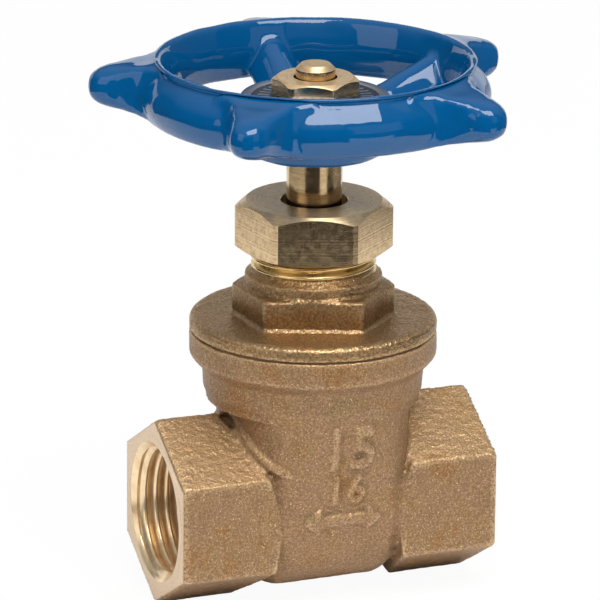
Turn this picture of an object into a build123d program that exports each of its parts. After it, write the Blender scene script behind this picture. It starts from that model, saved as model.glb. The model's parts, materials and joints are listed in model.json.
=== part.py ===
from build123d import *
import math
import os

# Screwed-bonnet gate valve for half-inch pipe, non-rising stem, in millimetres.
# The pipe runs along X and the stem along +Z.  The pieces are built about the point where
# the two axes cross, then moved so that the origin is on the pipe's axis where the inlet's
# thread reaches its full height, just inside the end face.

# ---- pipe ends -------------------------------------------------------------------------
end_to_end = 51.2
port_flats = 25.7
port_edge_round = 0.7
shoulder_reach = 9.75
shoulder_round = 27.0
shoulder_drop = 2.0
pipe_thread_radius = 10.5
pipe_thread_depth = 1.1
pipe_thread_pitch = 1.814
pipe_thread_length = 12.2
pipe_thread_opening = 0.5
mouth_flare = 0.3
thread_backing = 1.0

# ---- wedge chamber and seats -----------------------------------------------------------
flow_radius = 7.0
seat_width = 2.0
seat_proud = 1.5
seat_angle = 5.0
chamber_radius = 10.2
chamber_wall = 3.0
chamber_side_wall = 4.3
barrel_round = 4.5
cavity_relief = 0.8
relief_step = 1.2
relief_height = 2.0
rib_width = 2.4
rib_height = 1.4

# ---- neck of the body ------------------------------------------------------------------
rim_radius = 18.85
rim_height = 3.6
rim_bevel_height = 1.5
neck_radius = 17.0
neck_band_height = 4.2
neck_root_radius = 16.3
neck_root_height = 1.4
neck_edge_break = 0.3
rim_bevel_foot = 0.35
throat_inset = 0.15
throat_half_width = 13.5
throat_corner = 12.0
joint_height = 26.75
bonnet_thread_radius = 13.6
bonnet_thread_length = 7.3

# ---- bonnet ----------------------------------------------------------------------------
gasket_thickness = 0.35
gasket_inset = 0.5
flange_thickness = 2.1
flange_edge_round = 1.1
bonnet_hex_half_width = 12.45
bonnet_hex_half_depth = 10.75
bonnet_hex_half_face = 7.5
bonnet_hex_height = 4.8
bonnet_hex_turn = -21.4
hex_edge_round = 0.5
hex_corner_round = 1.0
collar_radius = 10.4
collar_height = 2.35
collar_bevel_height = 0.6
gland_thread_radius = 9.5
gland_thread_depth = 0.55
gland_thread_pitch = 1.0
gland_thread_length = 7.6
spigot_wall = 2.0
box_floor = 2.0

# ---- packing, gland and nut ------------------------------------------------------------
packing_radius = 6.6
packing_height = 1.4
packing_count = 3
follower_length = 2.6
follower_flange_radius = 7.8
follower_flange_height = 1.1
nut_flats = 21.3
nut_lift = 3.0
nut_height = 7.8
nut_top_wall = 1.5
nut_hole_gap = 0.9
nut_chamfer = 1.95
nut_turn = -13.0

# ---- stem and wedge --------------------------------------------------------------------
stem_radius = 4.2
stem_collar_radius = 6.6
stem_collar_height = 2.0
thrust_washer_height = 0.5
retainer_radius = 8.2
retainer_height = 2.6
spanner_slot = 1.6
lift_margin = 0.5
stem_thread_depth = 0.8
stem_thread_pitch = 3.2
turns_to_open = 5.0
wedge_radius = 9.6
wedge_half_thickness = 5.5
wedge_boss_radius = 6.1
wedge_boss_height = 3.6
thread_engagement = 4.0
wedge_floor = 1.5
wheel_gap = 7.7
square_flats = 5.6
tip_radius = 3.0
tip_reach = 2.0
tip_chamfer = 0.75

# ---- handwheel -------------------------------------------------------------------------
hub_radius = 11.7
hub_height = 7.8
hub_foot_radius = 9.6
hub_foot_height = 2.8
hub_foot_flare = 1.2
hub_foot_bevel = 0.4
rim_lift = 5.7
wheel_inner_radius = 23.2
wheel_outer_radius = 26.4
wheel_rim_height = 8.7
wheel_edge = 0.8
rim_belly_in = 0.6
rim_belly_height = 3.9
rim_foot_width = 2.0
finger_count = 5
finger_turn = 14.6
finger_reach = 33.9
finger_tip_half_width = 2.5
finger_root_half_width = 8.5
finger_pinch = 0.55
finger_pinch_place = 6.1
finger_top_fall = 2.9
finger_foot_rise = 2.2
finger_set_in = 1.0
spoke_half_width = 4.0
spoke_ridge_half_width = 0.9
spoke_thickness = 4.6
spoke_rise = 5.0
spoke_overlap = 0.8
plate_radius = 11.35
plate_thickness = 0.8
wheel_nut_flats = 11.8
wheel_nut_height = 2.9
wheel_nut_chamfer = 1.0
crown_slope = 0.6
wheel_nut_turn = 33.9

# ---- share of a thread's pitch that its groove takes, at the crest and at the root --------
thread_opening = 0.8
thread_root = 0.2

# ---- clearances ------------------------------------------------------------------------
running = 0.06
seat_gap = 0.06
fit_gap = 0.05
rib_gap = 0.3
overlap = 0.5

# ---- heights worked out from the sizes above -------------------------------------------
half_length = end_to_end / 2
pipe_crest_radius = pipe_thread_radius - pipe_thread_depth
mouth_radius = pipe_thread_radius + mouth_flare
full_thread = half_length - (mouth_radius - pipe_crest_radius)
wedge_slope = math.tan(math.radians(seat_angle))
seat_face = wedge_half_thickness + seat_gap
chamber_half_width = seat_face + seat_proud
barrel_radius = chamber_radius + chamber_wall
barrel_half_width = chamber_half_width + chamber_side_wall
lift = stem_thread_pitch * turns_to_open
flange_low = joint_height + gasket_thickness
flange_high = flange_low + flange_thickness
hex_high = flange_high + bonnet_hex_height
thread_floor = joint_height - bonnet_thread_length - cavity_relief
collar_high = hex_high + collar_height
neck_high = collar_high + gland_thread_length
neck_low = joint_height - rim_height - rim_bevel_height - neck_band_height - neck_root_height
boss_high = wedge_radius + wedge_boss_height
retainer_low = boss_high + lift + lift_margin
retainer_high = retainer_low + retainer_height
stem_collar_low = retainer_high + thrust_washer_height + fit_gap
stem_collar_high = stem_collar_low + stem_collar_height
pocket_high = stem_collar_high + fit_gap + thrust_washer_height
box_low = pocket_high + box_floor
packing_high = box_low + packing_count * packing_height
nut_low = collar_high + nut_lift
nut_high = nut_low + nut_height
follower_high = nut_high - nut_top_wall
follower_low = packing_high
hub_low = nut_high + wheel_gap
plate_low = hub_low + hub_height
plate_high = plate_low + plate_thickness
wheel_nut_high = plate_high + wheel_nut_height
rim_low = hub_low + rim_lift
rim_high = rim_low + wheel_rim_height
on_base = (Align.CENTER, Align.CENTER, Align.MIN)


def rod(radius, low, high):
    """A round bar about the stem's axis."""
    return Pos(0, 0, low) * Cylinder(radius, high - low, align=on_base)


def tube(outer, inner, low, high):
    """A round sleeve about the stem's axis."""
    return rod(outer, low, high) - rod(inner, low, high)


def hexagon(flats, low, high, turn=0.0):
    """A hexagonal bar about the stem's axis, with a corner at the given turn."""
    outline = RegularPolygon(flats / 2, 6, major_radius=False, rotation=turn)
    return extrude(Plane.XY.offset(low) * outline, high - low)


def along_pipe(shape):
    """Lay a piece built about the stem's axis along the pipe, its top towards +X."""
    return Rot(0, 90, 0) * shape


def turned(points):
    """A solid of revolution about the stem's axis, from (radius, height) corners."""
    return revolve(make_face(Plane.XZ * Polyline(points, close=True)), Axis.Z)


def thread_groove(crest, root, pitch, low, high, left_handed=False, opening=thread_opening):
    """The helical groove of a thread, cut from its crest radius to its root radius."""
    past_crest = crest + math.copysign(fit_gap, crest - root)
    half_widths = {past_crest: opening * pitch / 2, root: thread_root * pitch / 2}
    outer, inner = max(half_widths), min(half_widths)
    profile = Plane.XZ * Polyline(
        (outer, low - half_widths[outer]),
        (outer, low + half_widths[outer]),
        (inner, low + half_widths[inner]),
        (inner, low - half_widths[inner]),
        close=True,
    )
    path = Helix(pitch, high - low, crest, center=(0, 0, low), lefthand=left_handed)
    return sweep(make_face(profile), path=path, is_frenet=True)


def threaded_bar(radius, depth, pitch, low, high, left_handed=False):
    """A screwed bar whose thread starts above its low end and runs out at its high end."""
    past_end = high + 2 * pitch
    groove = thread_groove(radius, radius - depth, pitch, low + pitch, past_end - pitch, left_handed)
    return rod(radius, low, past_end) - groove - rod(2 * radius, high, past_end + pitch)


def wedge_prism(half_thickness, low, high):
    """A tapered block across the flow, thicker towards the bonnet."""
    span = 4 * wedge_radius
    corners = [(s * (half_thickness + z * wedge_slope), z) for s, z in
               ((-1, low), (1, low), (1, high), (-1, high))]
    face = make_face(Plane.XZ * Polyline(corners, close=True))
    return extrude(face, span / 2, both=True)


# ---- body ------------------------------------------------------------------------------
def threaded_sleeve():
    """The threaded lining of one port, its mouth at the end face on the +Z side."""
    wall = pipe_thread_radius + thread_backing
    inner_end = half_length - pipe_thread_length
    past_mouth = half_length + 2 * pipe_thread_pitch
    sleeve = tube(wall, pipe_crest_radius, inner_end, past_mouth)
    sleeve -= thread_groove(pipe_crest_radius, pipe_thread_radius, pipe_thread_pitch,
                            inner_end + pipe_thread_pitch, past_mouth - pipe_thread_pitch,
                            opening=pipe_thread_opening)
    sleeve -= rod(2 * wall, half_length, past_mouth + overlap)
    flare_depth = mouth_radius - pipe_crest_radius + overlap
    flare = Cone(mouth_radius - flare_depth, mouth_radius, flare_depth,
                 align=(Align.CENTER, Align.CENTER, Align.MAX))
    return sleeve - Pos(0, 0, half_length) * flare, wall, inner_end


def hexagon_ends():
    """The two wrench hexagons, whose inner ends bulge towards the middle of the valve."""
    bar = hexagon(port_flats, -half_length, half_length)
    bar = chamfer_round_ends(bar)
    ends = None
    for side in (-1, 1):
        centre = side * (shoulder_reach + shoulder_round)
        bulge = Pos(centre, 0, -shoulder_drop) * Rot(90, 0, 0) * Cylinder(shoulder_round, 4 * port_flats)
        end = along_pipe(bar) & bulge
        ends = end if ends is None else ends + end
    return ends


def chamfer_round_ends(bar):
    """Break the rims of the two end faces of a bar with a small round."""
    rims = bar.faces().sort_by(Axis.Z)[0].edges() + bar.faces().sort_by(Axis.Z)[-1].edges()
    return fillet(rims, port_edge_round)


def chamber_shell():
    """The waist between the hexagons: a round-edged barrel under a throat that meets the neck."""
    barrel = along_pipe(rod(barrel_radius, -barrel_half_width, barrel_half_width))
    barrel = fillet(barrel.edges().filter_by(GeomType.CIRCLE), barrel_round)
    waist = RectangleRounded(2 * barrel_half_width, 2 * barrel_radius, barrel_round)
    top_depth = 2 * (neck_root_radius - throat_inset)
    top = RectangleRounded(2 * throat_half_width, top_depth, throat_corner)
    throat = loft([waist, Pos(0, 0, neck_low + overlap) * top])
    return barrel + throat


def neck():
    """The round neck with its stepped band and the thick rim under the bonnet."""
    rim_low_z = joint_height - rim_height
    band_top = rim_low_z - rim_bevel_height
    band_low = band_top - neck_band_height
    return turned([
        (0, neck_low),
        (neck_root_radius, neck_low),
        (neck_root_radius, band_low - neck_edge_break),
        (neck_radius - neck_edge_break, band_low + neck_edge_break),
        (neck_radius, band_top - overlap),
        (neck_radius + rim_bevel_foot, band_top),
        (rim_radius, rim_low_z),
        (rim_radius, joint_height),
        (0, joint_height),
    ])


def seat_bosses():
    """The raised round seats, still full length, that stand in the chamber."""
    outer = flow_radius + seat_width
    inner_face = seat_face - wedge_slope * outer - overlap
    bosses = tube(outer, flow_radius, -chamber_half_width - overlap, -inner_face)
    bosses += tube(outer, flow_radius, inner_face, chamber_half_width + overlap)
    return along_pipe(bosses)


def guide_ribs():
    """The two upright ribs inside the chamber that keep the wedge from turning."""
    ribs = None
    for side in (-1, 1):
        rib = Box(rib_width, 2 * rib_height, neck_low + chamber_radius / 2)
        rib = Pos(0, side * chamber_radius, (neck_low - chamber_radius / 2) / 2) * rib
        ribs = rib if ribs is None else ribs + rib
    return ribs


def chamber_cavity():
    """The hollow that the wedge moves in, with its seats and ribs left standing."""
    slab = along_pipe(rod(chamber_radius, -chamber_half_width, chamber_half_width))
    slab += Pos(0, 0, thread_floor / 2) * Box(2 * chamber_half_width, 2 * chamber_radius, thread_floor)
    gap = wedge_prism(seat_face, -2 * chamber_radius, thread_floor) & slab
    return (slab - seat_bosses()) + gap - guide_ribs()


def make_body():
    sleeve, sleeve_radius, thread_end = threaded_sleeve()
    body = hexagon_ends() + chamber_shell() + neck()
    body -= chamber_cavity()
    for side in (-90, 90):
        body -= Rot(0, side, 0) * rod(flow_radius, seat_face - seat_width, half_length)
        body -= Rot(0, side, 0) * rod(sleeve_radius, thread_end, half_length + overlap)
        body += Rot(0, side, 0) * sleeve
    mouth_relief = rod(bonnet_thread_radius - relief_step, thread_floor - relief_height, thread_floor)
    return body - rod(bonnet_thread_radius + fit_gap, thread_floor, joint_height + overlap) - mouth_relief


# ---- bonnet and what it holds ----------------------------------------------------------
def bonnet_hexagon():
    """The cast wrench hexagon on the bonnet, a little wider than it is deep."""
    width, depth, face = bonnet_hex_half_width, bonnet_hex_half_depth, bonnet_hex_half_face
    outline = make_face(Polyline(
        (width, 0), (face, depth), (-face, depth), (-width, 0), (-face, -depth), (face, -depth),
        close=True,
    ))
    outline = fillet(outline.vertices(), hex_corner_round)
    block = extrude(outline, bonnet_hex_height + overlap)
    block = fillet(block.faces().sort_by(Axis.Z)[-1].edges(), hex_edge_round)
    return Pos(0, 0, flange_high - overlap) * Rot(0, 0, bonnet_hex_turn) * block


def make_bonnet():
    flange = rod(rim_radius, flange_low, flange_high)
    flange = fillet(flange.edges().sort_by(Axis.Z)[-1], flange_edge_round)
    collar = turned([
        (0, hex_high - overlap),
        (collar_radius, hex_high - overlap),
        (collar_radius, collar_high - collar_bevel_height),
        (gland_thread_radius - gland_thread_depth, collar_high),
        (0, collar_high),
    ])
    thread = threaded_bar(gland_thread_radius, gland_thread_depth, gland_thread_pitch,
                          collar_high - fit_gap, neck_high)
    spigot_inner = bonnet_thread_radius - spigot_wall
    spigot = tube(bonnet_thread_radius, spigot_inner, joint_height - bonnet_thread_length, flange_low + overlap)
    bonnet = flange + spigot + bonnet_hexagon() + collar + thread
    bonnet -= rod(retainer_radius + fit_gap, flange_low - overlap, retainer_high)
    bonnet -= rod(stem_collar_radius + rib_gap, retainer_high, pocket_high)
    bonnet -= rod(stem_radius + running, pocket_high, box_low)
    return bonnet - rod(packing_radius + fit_gap, box_low, neck_high + overlap)


def make_bonnet_gasket():
    return tube(rim_radius - gasket_inset, bonnet_thread_radius + 2 * fit_gap, joint_height, flange_low)


def make_stem_retainer():
    """The ring screwed up into the bonnet that keeps the stem's collar in its pocket."""
    ring = tube(retainer_radius, stem_radius + running, retainer_low, retainer_high)
    slot_depth = retainer_height / 3
    slot = Box(2 * retainer_radius + overlap, spanner_slot, slot_depth)
    return ring - Pos(0, 0, retainer_low + slot_depth / 2) * slot


def make_thrust_washer(low):
    return tube(stem_collar_radius, stem_radius + running, low, low + thrust_washer_height)


def make_packing_ring(index):
    low = box_low + index * packing_height
    return tube(packing_radius, stem_radius + running, low, low + packing_height)


def make_gland_follower():
    """The flanged bush that the packing nut presses on to squeeze the packing."""
    bush = rod(packing_radius - fit_gap, follower_low, follower_high)
    bush += rod(follower_flange_radius, follower_high - follower_flange_height, follower_high)
    return bush - rod(stem_radius + running, follower_low - overlap, follower_high + overlap)


def crowned_nut(flats, low, high, bevel, turn, both_ends=True):
    """A hexagon nut whose corners are turned down to a cone at its faces."""
    corner = flats / math.sqrt(3)
    blank = hexagon(flats, low, high, turn)
    foot = corner - bevel if both_ends else corner
    past_corner = corner + fit_gap
    crown = turned([
        (0, low), (foot, low), (past_corner, low + bevel * crown_slope * both_ends),
        (past_corner, high - bevel * crown_slope), (corner - bevel, high), (0, high),
    ])
    return blank & crown


def make_packing_nut():
    nut = crowned_nut(nut_flats, nut_low, nut_high, nut_chamfer, nut_turn)
    nut -= rod(gland_thread_radius + fit_gap, nut_low - overlap, follower_high)
    return nut - rod(stem_radius + nut_hole_gap, follower_high - overlap, nut_high + overlap)


# ---- stem and wedge --------------------------------------------------------------------
def make_stem():
    """The stem, from its left-hand thread in the wedge up to the tip that takes the wheel nut."""
    bottom = boss_high - thread_engagement
    screw = threaded_bar(stem_radius, stem_thread_depth, stem_thread_pitch,
                         -retainer_low + stem_thread_depth, -bottom, left_handed=True)
    shaft = Rot(180, 0, 0) * screw
    shaft += rod(stem_radius, retainer_low - stem_thread_depth, hub_low)
    shaft += rod(stem_collar_radius, stem_collar_low, stem_collar_high)
    square = Box(square_flats, square_flats, plate_low - hub_low, align=on_base)
    shaft += Pos(0, 0, hub_low) * square
    tip = rod(tip_radius, plate_low, wheel_nut_high + tip_reach)
    tip = chamfer(tip.edges().sort_by(Axis.Z)[-1], tip_chamfer)
    return shaft + tip


def make_wedge():
    """The gate: a tapered disc with a threaded boss, slotted at its sides for the guide ribs."""
    disc = along_pipe(rod(wedge_radius, -2 * wedge_half_thickness, 2 * wedge_half_thickness))
    wedge = disc & wedge_prism(wedge_half_thickness, -wedge_radius, boss_high)
    wedge += rod(wedge_boss_radius, wedge_radius / 2, boss_high)
    slot_floor = chamber_radius - rib_height - rib_gap
    for side in (-1, 1):
        slot = Box(rib_width + 2 * rib_gap, wedge_radius, 4 * wedge_radius)
        wedge -= Pos(0, side * (slot_floor + wedge_radius / 2), 0) * slot
    return wedge - rod(stem_radius + 2 * running, wedge_floor - wedge_radius, boss_high + overlap)


# ---- handwheel -------------------------------------------------------------------------
def wheel_rim():
    """The upright band of the wheel, bellied on both sides and thin at its top edge."""
    top, low, belly = rim_high, rim_low, rim_low + rim_belly_height
    foot = (wheel_inner_radius + rim_foot_width, low)
    lip = (wheel_inner_radius + wheel_edge, top)
    section = make_face(
        ThreePointArc((wheel_inner_radius, top), (wheel_inner_radius - rim_belly_in, belly),
                      (wheel_inner_radius, low))
        + Line((wheel_inner_radius, low), foot)
        + ThreePointArc(foot, (wheel_outer_radius, belly), lip)
        + Line(lip, (wheel_inner_radius, top))
    )
    return revolve(Plane.XZ * section, Axis.Z)


def finger_plan():
    """One finger seen from above: broad at the rim, pinched, with a round tip."""
    root = wheel_inner_radius + finger_set_in
    tip = finger_reach - finger_tip_half_width
    half_root, half_tip = finger_root_half_width, finger_tip_half_width
    pinch_reach, pinch_half = root + finger_pinch_place * (tip - root) / wheel_rim_height, half_tip + finger_pinch
    return make_face(
        Line((root, -half_root), (root, half_root))
        + ThreePointArc((root, half_root), (pinch_reach, pinch_half), (tip, half_tip))
        + ThreePointArc((tip, half_tip), (finger_reach, 0), (tip, -half_tip))
        + ThreePointArc((tip, -half_tip), (pinch_reach, -pinch_half), (root, -half_root))
    )


def finger_band():
    """The ring that limits the fingers' height, drawn in from both faces towards their tips."""
    near = wheel_inner_radius + finger_set_in
    return turned([
        (near, rim_low + fit_gap), (finger_reach, rim_low + finger_foot_rise),
        (finger_reach, rim_high - finger_top_fall), (near, rim_high - fit_gap),
    ])


def spoke():
    """One arm with a ridged back, climbing from the hub to the inside of the rim."""
    near, far = hub_foot_radius, wheel_inner_radius + spoke_overlap
    outline = Plane.YZ * Polyline(
        (-spoke_half_width, 0), (spoke_half_width, 0),
        (spoke_ridge_half_width, spoke_thickness), (-spoke_ridge_half_width, spoke_thickness),
        close=True,
    )
    run, rise = far - near, spoke_rise
    arm = extrude(make_face(outline), math.hypot(run, rise), dir=Vector(run, 0, rise))
    return Pos(near, 0, hub_low + hub_foot_height - overlap) * arm


def make_handwheel():
    hub = turned([
        (0, hub_low), (hub_foot_radius, hub_low), (hub_foot_radius + hub_foot_flare, hub_low + hub_foot_bevel),
        (hub_radius, hub_low + hub_foot_height), (hub_radius, plate_low), (0, plate_low),
    ])
    fingers = None
    for index in range(finger_count):
        turn = finger_turn + index * 360 / finger_count
        plan = Pos(0, 0, hub_low) * extrude(finger_plan(), rim_high - hub_low)
        finger = Rot(0, 0, turn) * plan
        fingers = finger if fingers is None else fingers + finger
    wheel = wheel_rim() + (fingers & finger_band()) + hub
    for index in range(finger_count):
        wheel += Rot(0, 0, finger_turn + index * 360 / finger_count) * spoke()
    socket = Box(square_flats + 2 * fit_gap, square_flats + 2 * fit_gap, 4 * hub_height)
    return wheel - Pos(0, 0, hub_low) * socket


def make_identity_plate():
    return tube(plate_radius, tip_radius + fit_gap, plate_low, plate_high)


def make_wheel_nut():
    nut = crowned_nut(wheel_nut_flats, plate_high, wheel_nut_high, wheel_nut_chamfer,
                      wheel_nut_turn, both_ends=False)
    return nut - rod(tip_radius + fit_gap, plate_high - overlap, wheel_nut_high + overlap)


# ---- write every piece, with the start of the inlet's full thread at the origin --------
pieces = {
    "body": make_body(),
    "bonnet_gasket": make_bonnet_gasket(),
    "bonnet": make_bonnet(),
    "stem_retainer": make_stem_retainer(),
    "lower_thrust_washer": make_thrust_washer(retainer_high),
    "upper_thrust_washer": make_thrust_washer(pocket_high - thrust_washer_height),
    "gland_follower": make_gland_follower(),
    "packing_nut": make_packing_nut(),
    "stem": make_stem(),
    "wedge": make_wedge(),
    "handwheel": make_handwheel(),
    "identity_plate": make_identity_plate(),
    "wheel_nut": make_wheel_nut(),
}
for ring_index in range(packing_count):
    pieces[f"packing_ring_{ring_index + 1}"] = make_packing_ring(ring_index)

os.makedirs("parts", exist_ok=True)
for name, piece in pieces.items():
    export_step(Pos(full_thread, 0, 0) * piece, f"parts/{name}.step")
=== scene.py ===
# A half-inch gate valve: sand-cast bronze castings, turned brass fittings, a blue enamelled handwheel.
import json
import math

import bmesh
import bpy
import numpy as np
from mathutils import Matrix, Vector, noise
from mathutils.bvhtree import BVHTree


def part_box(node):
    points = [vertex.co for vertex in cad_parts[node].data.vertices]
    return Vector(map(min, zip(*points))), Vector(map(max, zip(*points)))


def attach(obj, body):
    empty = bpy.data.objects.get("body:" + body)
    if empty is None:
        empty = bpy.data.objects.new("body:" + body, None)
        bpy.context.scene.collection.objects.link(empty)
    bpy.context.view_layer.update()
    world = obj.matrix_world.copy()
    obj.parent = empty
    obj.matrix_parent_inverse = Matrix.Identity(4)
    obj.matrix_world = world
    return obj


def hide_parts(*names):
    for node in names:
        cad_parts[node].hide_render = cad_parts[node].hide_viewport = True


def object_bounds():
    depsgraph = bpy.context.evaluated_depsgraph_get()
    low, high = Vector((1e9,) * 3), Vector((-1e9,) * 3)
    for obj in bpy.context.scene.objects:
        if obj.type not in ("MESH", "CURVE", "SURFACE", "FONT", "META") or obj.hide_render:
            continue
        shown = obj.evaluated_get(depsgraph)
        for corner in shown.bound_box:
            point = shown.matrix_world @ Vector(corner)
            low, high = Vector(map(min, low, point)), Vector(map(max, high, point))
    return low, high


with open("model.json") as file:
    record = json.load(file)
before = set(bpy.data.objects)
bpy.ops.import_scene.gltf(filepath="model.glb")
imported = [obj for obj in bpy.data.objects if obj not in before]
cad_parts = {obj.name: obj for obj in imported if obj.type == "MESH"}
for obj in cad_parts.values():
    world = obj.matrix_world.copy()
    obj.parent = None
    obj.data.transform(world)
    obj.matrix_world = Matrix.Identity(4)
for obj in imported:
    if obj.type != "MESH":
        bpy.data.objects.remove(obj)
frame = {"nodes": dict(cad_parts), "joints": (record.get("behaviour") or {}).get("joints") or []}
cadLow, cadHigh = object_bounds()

mm = 0.001
joinReach = 0.001 * mm  # points nearer than this are one point
joints = {joint["name"]: joint for joint in frame["joints"]}
stemX = joints["stem_turn"]["pos_m"][0]
bodyLow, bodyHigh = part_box("body")
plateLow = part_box("identity_plate")[0]


# small helpers
def colour(hexCode):  # sRGB hex to linear
    parts = [int(hexCode[start:start + 2], 16) / 255 for start in (1, 3, 5)]
    return [part / 12.92 if part <= 0.04045 else ((part + 0.055) / 1.055) ** 2.4 for part in parts] + [1]


def addNode(tree, kind, inputs=None, **settings):
    node = tree.nodes.new(kind)
    for name, value in settings.items():
        setattr(node, name, value)
    for name, value in (inputs or {}).items():
        if isinstance(value, bpy.types.NodeSocket):
            tree.links.new(value, node.inputs[name])
        else:
            node.inputs[name].default_value = value
    return node


def newMaterial(name):
    material = bpy.data.materials.new(name)
    material.use_nodes = True
    material.node_tree.nodes.clear()
    return material, material.node_tree


def finishMaterial(tree, inputs):
    shader = addNode(tree, "ShaderNodeBsdfPrincipled", inputs)
    addNode(tree, "ShaderNodeOutputMaterial", {"Surface": shader.outputs["BSDF"]})


def fillRamp(node, stops):  # stops are (place, sRGB hex)
    ramp = node.color_ramp
    while len(ramp.elements) < len(stops):
        ramp.elements.new(0.5)
    for element, (place, hexCode) in zip(ramp.elements, stops):
        element.position = place
        element.color = colour(hexCode)


def newPiece(name, bm, material, smooth=True, sharp=None):  # edges past sharp degrees stay crisp
    mesh = bpy.data.meshes.new(name)
    bm.to_mesh(mesh)
    bm.free()
    piece = bpy.data.objects.new(name, mesh)
    bpy.context.collection.objects.link(piece)
    mesh.materials.append(material)
    mesh.shade_smooth() if smooth else mesh.shade_flat()
    if sharp:
        mesh.set_sharp_from_angle(angle=math.radians(sharp))
    return piece


# materials
castLook = {
    "valley": "#6c5236",
    "skin": "#8c6a44",
    "peak": "#b08d64",
    # the pale specks are partly bright metal where the shot struck and partly painted glints
    "glintSpeck": "#e2c79c",
    # a lighter tone on upward faces: painted light from above
    "paintedTopLight": "#d9b27e",
    "paintedTopShare": 0.25,
    # a darker tone in hollows and creases: painted shade
    "paintedHollowShade": "#4a3524",
    # the pale edge colour is partly rubbed bare bronze and partly a painted edge highlight
    "wornAndHighlight": "#e2c298",
    "tints": [(0.36, "#a06f42"), (0.46, "#a58763"), (0.56, "#a48068"), (0.66, "#8c7955")],
    "tintShare": 0.35,
    "face": "#dfc6a6",
    "faceSkin": 0.06 * mm,  # how deep from an end of the pipe the machined look goes
    "grain": 0.34 * mm,  # grit of the moulding sand, drawn a little coarse so that it shows
    "nub": 0.85 * mm,  # its clumps
    "speck": 0.24 * mm,  # dents left by the shot, where the pale specks and their painted glints fall
    "tintPatch": 7 * mm,
    "fine": 0.6,  # how strong the finer waves of each texture are
    "skinStops": (0.34, 0.5, 0.66),  # valley, skin and peak
    # where a thing starts, where it is full, and how full that is
    "upSpan": (0.15, 0.6, 1.0),
    "hollowShadeSpan": (0.38, 0.15, 0.7),
    "rubHighlightSpan": (0.56, 0.86, 0.65),
    "rubGrain": (0.38, 0.58, 1.0),
    "struckGlintSpan": (0.66, 0.73, 0.8),
    "faceGrain": (0.35, 0.65, 0.35),
    "topGlints": 0.06,
    "relief": 0.22 * mm,
    "grainRelief": 0.45,
    "sideRelief": 0.25,
    "cutRelief": -0.93,
    "metallic": 0.55,
    "gloss": 0.54,
    "grainGloss": -0.12,
    "struckGloss": -0.15,
    "cutGloss": -0.14,
}
bonnetLook = castLook | {  # a cleaner casting than the body's, browner and shinier
    "valley": "#76593c",
    "skin": "#9c7c56",
    "peak": "#c2a177",
    "tints": [(0.36, "#8f6c44"), (0.46, "#a88a60"), (0.56, "#a98260"), (0.66, "#8c7a54")],
    # the pale edge colour is partly rubbed bare bronze and partly a painted edge highlight
    "wornAndHighlight": "#dfc294",
    "grain": 0.4 * mm,
    "metallic": 0.95,
    "gloss": 0.5,
}


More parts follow.
